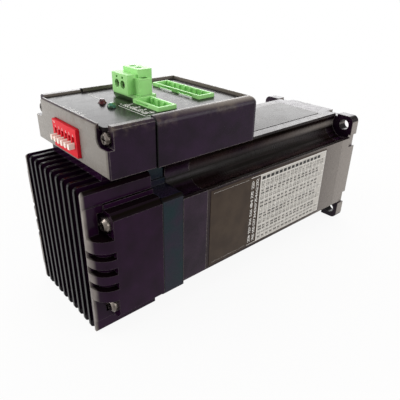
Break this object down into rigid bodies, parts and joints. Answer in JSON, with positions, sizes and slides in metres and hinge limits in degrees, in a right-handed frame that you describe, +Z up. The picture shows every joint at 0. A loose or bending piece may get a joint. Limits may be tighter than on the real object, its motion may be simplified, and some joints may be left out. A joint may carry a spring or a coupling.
{
  "type": "integrated stepper motor",
  "caption": "Square-flange closed-loop stepper motor with a finned rear heat sink, an encoder band and a driver box on top with switches, lights, two headers and a screw plug.",
  "frame": {"origin": "where the shaft axis meets the mounting face", "axes": "+X along the shaft, out of the mounting face; +Z up, towards the driver box; +Y to the left"},
  "size_m": [0.168, 0.0565, 0.0853],
  "materials": {
    "bell_paint": "satin black paint on cast aluminium",
    "stack_paint": "satin black paint on laminated steel",
    "insulator_plastic": "moulded insulator",
    "enamelled_copper": "enamelled copper wire",
    "plated_steel": "bright plated steel",
    "ground_steel": "ground steel",
    "bearing_steel": "polished bearing steel",
    "rotor_iron": "ground rotor iron",
    "magnet": "sintered magnet",
    "spring_steel": "spring steel",
    "housing_paint": "satin black paint",
    "heat_sink_paint": "gloss black paint on cast aluminium",
    "circuit_board": "solder-masked board",
    "encoder_plastic": "encoder disc",
    "component_plastic": "moulded component",
    "thermal_rubber": "thermal pad",
    "box_paint": "satin black paint",
    "panel_plastic": "glossy black film",
    "switch_red": "moulded red",
    "lever_ivory": "moulded ivory",
    "red_lens": "tinted lens",
    "green_lens": "tinted lens",
    "terminal_green": "moulded green",
    "tinned_pins": "tinned copper alloy",
    "label_film": "printed film",
    "top_film": "plain film"
  },
  "bodies": {
    "motor": {"front_end_bell": "bell_paint", "rear_end_bell": "bell_paint", "stator_stack": "stack_paint", "front_insulator": "insulator_plastic", "rear_insulator": "insulator_plastic", "phase_a_coils": "enamelled_copper", "phase_b_coils": "enamelled_copper", "tie_screws": "plated_steel", "heat_sink_screws": "plated_steel", "box_screws": "plated_steel", "front_bearing_outer_race": "bearing_steel", "rear_bearing_outer_race": "bearing_steel", "preload_washer": "spring_steel", "encoder_housing": "housing_paint", "heat_sink": "heat_sink_paint", "encoder_board": "circuit_board", "power_board": "circuit_board", "control_board": "circuit_board", "switch_board": "circuit_board", "power_transistors": "component_plastic", "thermal_pad": "thermal_rubber", "driver_box_body": "box_paint", "driver_box_rear_cover": "box_paint", "top_panel": "panel_plastic", "switch_body": "switch_red", "red_light": "red_lens", "green_light": "green_lens", "short_header": "terminal_green", "long_header": "terminal_green", "power_header": "terminal_green", "short_header_pins": "tinned_pins", "long_header_pins": "tinned_pins", "power_pins": "tinned_pins", "side_label": "label_film", "top_label": "top_film"},
    "rotor": {"shaft": "ground_steel", "front_rotor_cup": "rotor_iron", "rear_rotor_cup": "rotor_iron", "rotor_magnet": "magnet", "front_bearing_inner_race": "bearing_steel", "rear_bearing_inner_race": "bearing_steel", "encoder_disc": "encoder_plastic"},
    "bearing_balls": {"front_bearing_balls": "bearing_steel", "rear_bearing_balls": "bearing_steel"},
    "plug": {"power_plug": "terminal_green", "plug_ear_screws": "plated_steel"},
    "lever_1": {"switch_lever_1": "lever_ivory"},
    "lever_2": {"switch_lever_2": "lever_ivory"},
    "lever_3": {"switch_lever_3": "lever_ivory"},
    "lever_4": {"switch_lever_4": "lever_ivory"},
    "lever_5": {"switch_lever_5": "lever_ivory"},
    "lever_6": {"switch_lever_6": "lever_ivory"},
    "left_screw": {"left_clamp_screw": "plated_steel"},
    "left_cage": {"left_clamp_cage": "plated_steel"},
    "right_screw": {"right_clamp_screw": "plated_steel"},
    "right_cage": {"right_clamp_cage": "plated_steel"}
  },
  "joints": [
    {"name": "rotor_spin", "type": "hinge", "parent": "motor", "child": "rotor", "pos_m": [0, 0, 0], "axis": [1, 0, 0], "continuous": true},
    {"name": "ball_spin", "type": "hinge", "parent": "motor", "child": "bearing_balls", "pos_m": [0, 0, 0], "axis": [1, 0, 0], "continuous": true},
    {"name": "lever_1_slide", "type": "slide", "parent": "motor", "child": "lever_1", "axis": [0, 0, 1], "range_m": [0, 0.002]},
    {"name": "lever_2_slide", "type": "slide", "parent": "motor", "child": "lever_2", "axis": [0, 0, 1], "range_m": [0, 0.002]},
    {"name": "lever_3_slide", "type": "slide", "parent": "motor", "child": "lever_3", "axis": [0, 0, 1], "range_m": [0, 0.002]},
    {"name": "lever_4_slide", "type": "slide", "parent": "motor", "child": "lever_4", "axis": [0, 0, 1], "range_m": [0, 0.002]},
    {"name": "lever_5_slide", "type": "slide", "parent": "motor", "child": "lever_5", "axis": [0, 0, 1], "range_m": [0, 0.002]},
    {"name": "lever_6_slide", "type": "slide", "parent": "motor", "child": "lever_6", "axis": [0, 0, 1], "range_m": [0, 0.002]},
    {"name": "plug_pull", "type": "slide", "parent": "motor", "child": "plug", "axis": [0, 0, 1], "range_m": [0, 0.01]},
    {"name": "left_screw_turn", "type": "hinge", "parent": "plug", "child": "left_screw", "pos_m": [-0.1072, 0.00961, 0.0516], "axis": [1, 0, 0], "range_deg": [0, 720]},
    {"name": "left_cage_slide", "type": "slide", "parent": "plug", "child": "left_cage", "axis": [1, 0, 0], "range_m": [0, 0.001]},
    {"name": "right_screw_turn", "type": "hinge", "parent": "plug", "child": "right_screw", "pos_m": [-0.1072, 0.00579, 0.0516], "axis": [1, 0, 0], "range_deg": [0, 720]},
    {"name": "right_cage_slide", "type": "slide", "parent": "plug", "child": "right_cage", "axis": [1, 0, 0], "range_m": [0, 0.001]}
  ],
  "couplings": [
    {"joint": "ball_spin", "follows": "rotor_spin", "ratio": 0.3774},
    {"joint": "left_screw_turn", "follows": "left_cage_slide", "rad_per_m": 12566},
    {"joint": "right_screw_turn", "follows": "right_cage_slide", "rad_per_m": 12566}
  ]
}
